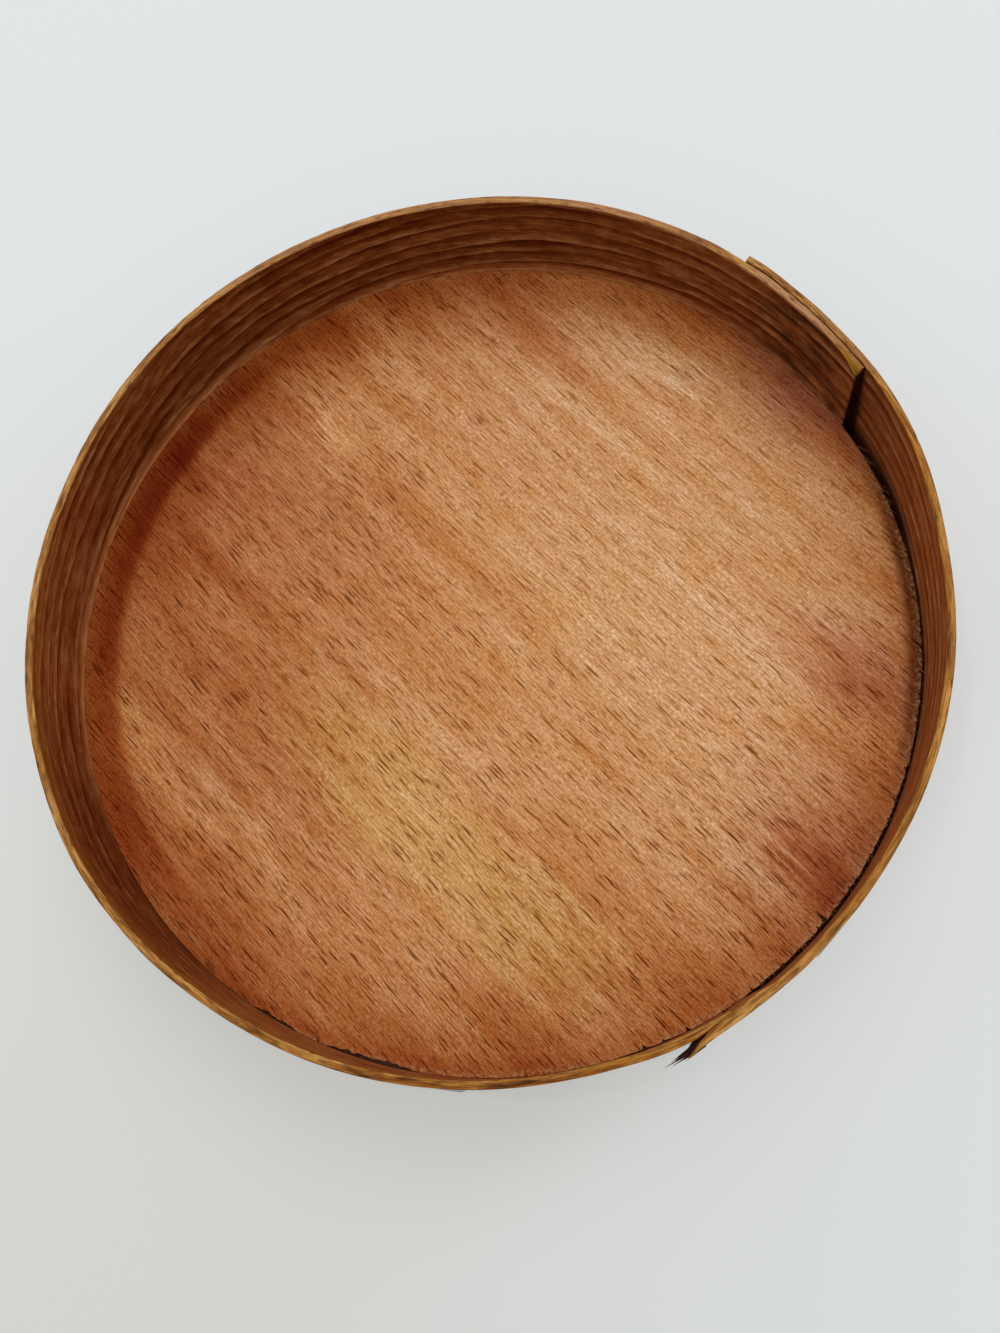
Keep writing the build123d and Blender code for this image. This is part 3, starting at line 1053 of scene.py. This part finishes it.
def hoop_wall(add, in_strip, streaks):
    """The stained wood of the strips' two faces."""
    place = add("SeparateXYZ", [in_strip])
    along, height = place.outputs["X"], place.outputs["Z"]
    near = partial(near_place, add, along)
    strip_noise = partial(stretched_noise, add, in_strip)
    share_up = add("Math divide", [height, HOOP_HEIGHT])
    wall = add("ValToRGB", {"Fac": share_up}, stops=[(z / HOOP_HEIGHT, c) for z, c in WALL])

    # browner at the top left and the left, nearly black in a blotch inside the lap
    inside = add("MapRange", {"Value": place.outputs["Y"], "From": (0.4, 0.2)})
    blotches = strip_noise((5, 2, 1.8), 28, 3.0, 0.5)
    blotches = add("MapRange", {"Value": blotches, "From": (0.35, 0.6)})
    lap_blotch = near(40.0, 15.0, 3.0)
    for share in (blotches, inside):
        lap_blotch = add("Math multiply", [lap_blotch, share])
    top_left, left = near(100.0, 80.0, 25.0), near(207.0, 28.0, 8.0)
    wall = paint_over(add, wall, [(top_left, "#6f3a17"), (left, "#693113"), (lap_blotch, "#4a2410")])

    # how deep the stain is: streaks and clouds of many sizes, the rings, and shade under the rim
    late, early = growth_rings(add, in_strip, along, height)
    fine = strip_noise((60, 3, 0.55), 5, 3.0, 0.5)
    lines = strip_noise((26, 3, 0.20), 6, 1.0, 0.5)
    cloud = strip_noise((7, 2, 2.4), 12, 3.0, 0.5)
    mottle = strip_noise((2.2, 2, 0.9), 36, 3.0, 0.6)
    depth = add_up(
        add, 0.95 - 0.5 * (0.5 + 0.3 + 0.9 + 0.7 + 1.0),
        [(fine, 0.5), (lines, 0.3), (streaks, 0.9), (cloud, 0.7), (mottle, 1.0)],
    )
    near_rim = add("MapRange", {"Value": height, "From": (13.5, 17.5)}, **SMOOTH)
    top_left = near(100.0, 38.0, 12.0)
    top_shade = add("Math multiply", [near_rim, top_left])
    depth = add_up(add, depth, [(late, 0.50), (early, -0.25), (top_shade, 0.2)])
    wall = deepen(add, wall, depth)

    # on the left the foot of the wall is paler, and a line of fibres and old glue shows there
    far_low = add("Math multiply", [near(82.0, 50.0, 15.0), 0.6])
    where_low = near(155.0, 55.0, 15.0)
    where_low = add("Math maximum", [where_low, far_low])
    where_low = add("Math multiply", [where_low, inside])
    low = add("MapRange", {"Value": height, "From": (5.6, 3.4)}, **SMOOTH)
    above_face = add("Math subtract", [height, FACE_TOP])
    foot = add("MapRange", {"Value": above_face, "From": (0.35, 0.8), "To": (0.9, 0)})
    glued = strip_noise((2, 2, 6), 33, 4.0, 0.5)
    glued = add("MapRange", {"Value": glued, "From": (0.35, 0.55)})
    glued = add("Math multiply", [foot, glued])
    lower_left = near(205.0, 42.0, 20.0)
    layers = []
    for band, where, amount, colour in (
        (near_rim, lower_left, 0.45, "#965a1e"), (low, where_low, 0.7, deepen(add, "#c47a48", depth)),
        (glued, where_low, 1.0, "#dc9454"),
    ):
        share = add("Math multiply", [band, where])
        layers.append((add("Math multiply", [share, amount]), colour))
    return paint_over(add, wall, layers)


# %% The hoop's rim
RIM = [
    # place in the cloud noise, colour: golden
    (0.34, "#70461e"), (0.44, "#9a6a36"), (0.54, "#b18044"), (0.66, "#cca060"),
]  # fmt: skip


def hoop_rim(add, in_strip, pink, bare):
    """The trimmed rim: golden, with dark dirt along its edges, and worn pink or bare in places."""
    rim_cloud = stretched_noise(add, in_strip, (5, 0.5, 5), 15, 4.0, 0.65)
    rim = add("ValToRGB", {"Fac": rim_cloud}, stops=RIM)
    for part, colour in ((pink, "#b98a66"), (bare, "#c08c40")):
        share = add("Math maximum", [part, 0.0])
        rim = paint_over(add, rim, [(share, colour)])
    rim_streaks = stretched_noise(add, in_strip, (3.5, 0.12, 2), 18, 3.0, 0.7)
    dark = add("Math minimum", [pink, 0.0])
    rim = deepen(add, rim, add_up(add, 0.40, [(rim_streaks, 1.5), (dark, -0.8)]))
    dirt = stretched_noise(add, in_strip, (1.8, 0.35, 3), 21, 3.0, 0.5)
    dirt = add("Math multiply_add", [bare, -0.10, dirt])
    dirt_and_painted_shade = add("MapRange", {"Value": dirt, "From": (0.53, 0.68), "To Max": 0.7})
    return paint_over(add, rim, [(dirt_and_painted_shade, "#4c3214")])


# %% The hoop's material
def make_hoop_beech():
    """The strips' wood: the wall, the rim over it, then the chip, the torn end and painted shade."""
    material = bpy.data.materials.new("stained_steam_bent_beech")
    add = emptied(material)
    in_strip = add("Attribute", attribute_name="in_strip").outputs["Vector"]
    wear_and_painted_shade = add("Attribute", attribute_name="wear_and_painted_shade").outputs["Vector"]
    chipped = add("Attribute", attribute_name="chipped").outputs["Fac"]
    streaks = stretched_noise(add, in_strip, (5, 0.3, 0.15), 7, 3.0, 0.65)
    wall = hoop_wall(add, in_strip, streaks)
    pink, bare, tear_and_painted_shade_share = add("SeparateXYZ", [wear_and_painted_shade]).outputs
    rim = hoop_rim(add, in_strip, pink, bare)
    height = add("SeparateXYZ", [in_strip]).outputs["Z"]
    on_rim = add("MapRange", {"Value": height, "From": (HOOP_HEIGHT - 0.26, HOOP_HEIGHT - 0.10)}, **SMOOTH)

    # the chip shows olive yellow wood, the tear a dirty dark red, which is also the painted shade
    # and shadow by the lap
    worn_depth = add_up(add, 0.5, [(streaks, 1.0)])
    chip, tear_and_painted_shade = [deepen(add, colour, worn_depth) for colour in ("#b8862c", "#2a0e06")]
    colour = paint_over(add, wall, [(on_rim, rim), (chipped, chip), (tear_and_painted_shade_share, tear_and_painted_shade)])
    gloss = add("MapRange", {"Value": streaks, "To": (0.45, 0.65)})
    return finish_wood(material, add, colour, streaks, gloss, STAINED_SHINE)


hoop_beech = make_hoop_beech()
print("hoop material has", len(hoop_beech.node_tree.nodes), "nodes")

# %% [markdown]
# ## The hidden plies and the staples
#
# The middle ply lies across the other two, and only its edge could be seen. The back ply is plain
# beech with a thin coat of stain. The staples are drawn steel wire, dulled by age: a metal's
# colour is its reflection, so the dulling is in the roughness and in small brown spots.


# %% Ply and wire materials
def make_plain_beech(name, along_weights, across_weights, light, dark, seed):
    """Beech veneer with thin stain, its grain along the given direction."""
    material = bpy.data.materials.new(name)
    add = emptied(material)
    in_mm, grain = grain_coordinates(add, along_weights, across_weights)
    bands = stretched_noise(add, grain, (40, 5, 1), seed, detail=2.0)
    colour = add("ValToRGB", {"Fac": bands}, stops=[(0.3, dark), (0.7, light)])
    streaks = stretched_noise(add, grain, (5.0, 0.26, 1), seed + 3, detail=3.0, roughness=0.7)
    flecks = ray_flecks(add, grain, FLECKS, seed)
    colour = deepen(add, colour, add_up(add, 0.65, [(streaks, 0.7), (flecks, 0.9)]))
    relief = add("Math subtract", [streaks, flecks])
    return finish_wood(material, add, colour, relief, 0.62, BARE_SHINE)


def make_staple_steel():
    """Drawn steel wire with small brown spots of rust. In the wood its legs have gone black."""
    material = bpy.data.materials.new("dulled_drawn_steel_wire")
    add = emptied(material)
    place = add("TexCoord").outputs["Object"]
    in_open_air = add("MapRange", {"Value": from_axis(add, place), "From": (55.6 * MM, 55.9 * MM)})
    spots = add("TexNoise", {"Vector": place, "Scale": 1 / (0.9 * MM), "Detail": 4.0}).outputs["Fac"]
    rust = add("MapRange", {"Value": spots, "From": (0.55, 0.68)})
    bare = paint_over(add, "#a9a7a2", [(rust, "#6b4028")])
    colour = paint_over(add, "#1c120c", [(in_open_air, bare)])
    gloss = add("MapRange", {"Value": spots, "To": (0.25, 0.6)})
    bright = add("MapRange", {"Value": rust, "To": (1.0, 0.2)})
    metal = add("Math multiply", [bright, in_open_air])
    surface = add("BsdfPrincipled", {"Base Color": colour, "Roughness": gloss, "Metallic": metal})
    add("OutputMaterial", {"Surface": surface})
    return material


core_beech = make_plain_beech(
    "core_ply_beech", (0.708, 0.706, 0.0), (-0.706, 0.708, 0.0), "#6e4224", "#4e2c14", 31
)
back_beech = make_plain_beech("back_ply_beech", ALONG_GRAIN, ACROSS_GRAIN, "#bd8a5b", "#a06b40", 47)
staple_steel = make_staple_steel()

# %% [markdown]
# ## Put the pieces in the scene
#
# Each finished bmesh is scaled from millimetres to metres and becomes one object at the origin.
# It rides on the CAD's one body, and the CAD node that it stands for is hidden. The strips are
# shaded smooth, with edges sharper than 35 degrees left sharp, and the face veneer is shaded flat.
# The other plies and the staples keep their CAD shape.

# %% Pieces
SHARP = radians(35)


def add_piece(bm, name, node, material, smooth=True):
    """Turn a bmesh in mm into a piece that stands for a CAD node."""
    bmesh.ops.scale(bm, verts=bm.verts, vec=(MM, MM, MM))
    for face in bm.faces:
        face.smooth = smooth
    for edge in bm.edges:
        edge.smooth = edge.calc_face_angle(0) < SHARP
    mesh = bpy.data.meshes.new(name)
    bm.to_mesh(mesh)
    bm.free()
    mesh.materials.append(material)
    piece = bpy.data.objects.new(name, mesh)
    scene.collection.objects.link(piece)
    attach(piece, "root")
    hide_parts(node)
    mesh.calc_loop_triangles()
    print(name, "has", len(mesh.loop_triangles), "triangles")


add_piece(long_strip, "long_strip", "hoop_long_strip", hoop_beech)
add_piece(short_strip, "short_strip", "hoop_short_strip", hoop_beech)
add_piece(face_veneer, "face_veneer", "panel_face_veneer", face_beech, False)

for node, material in {
    "panel_core_veneer": core_beech, "panel_back_veneer": back_beech, "panel_staples": staple_steel
}.items():
    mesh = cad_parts[node].data
    mesh.materials.clear()
    mesh.materials.append(material)
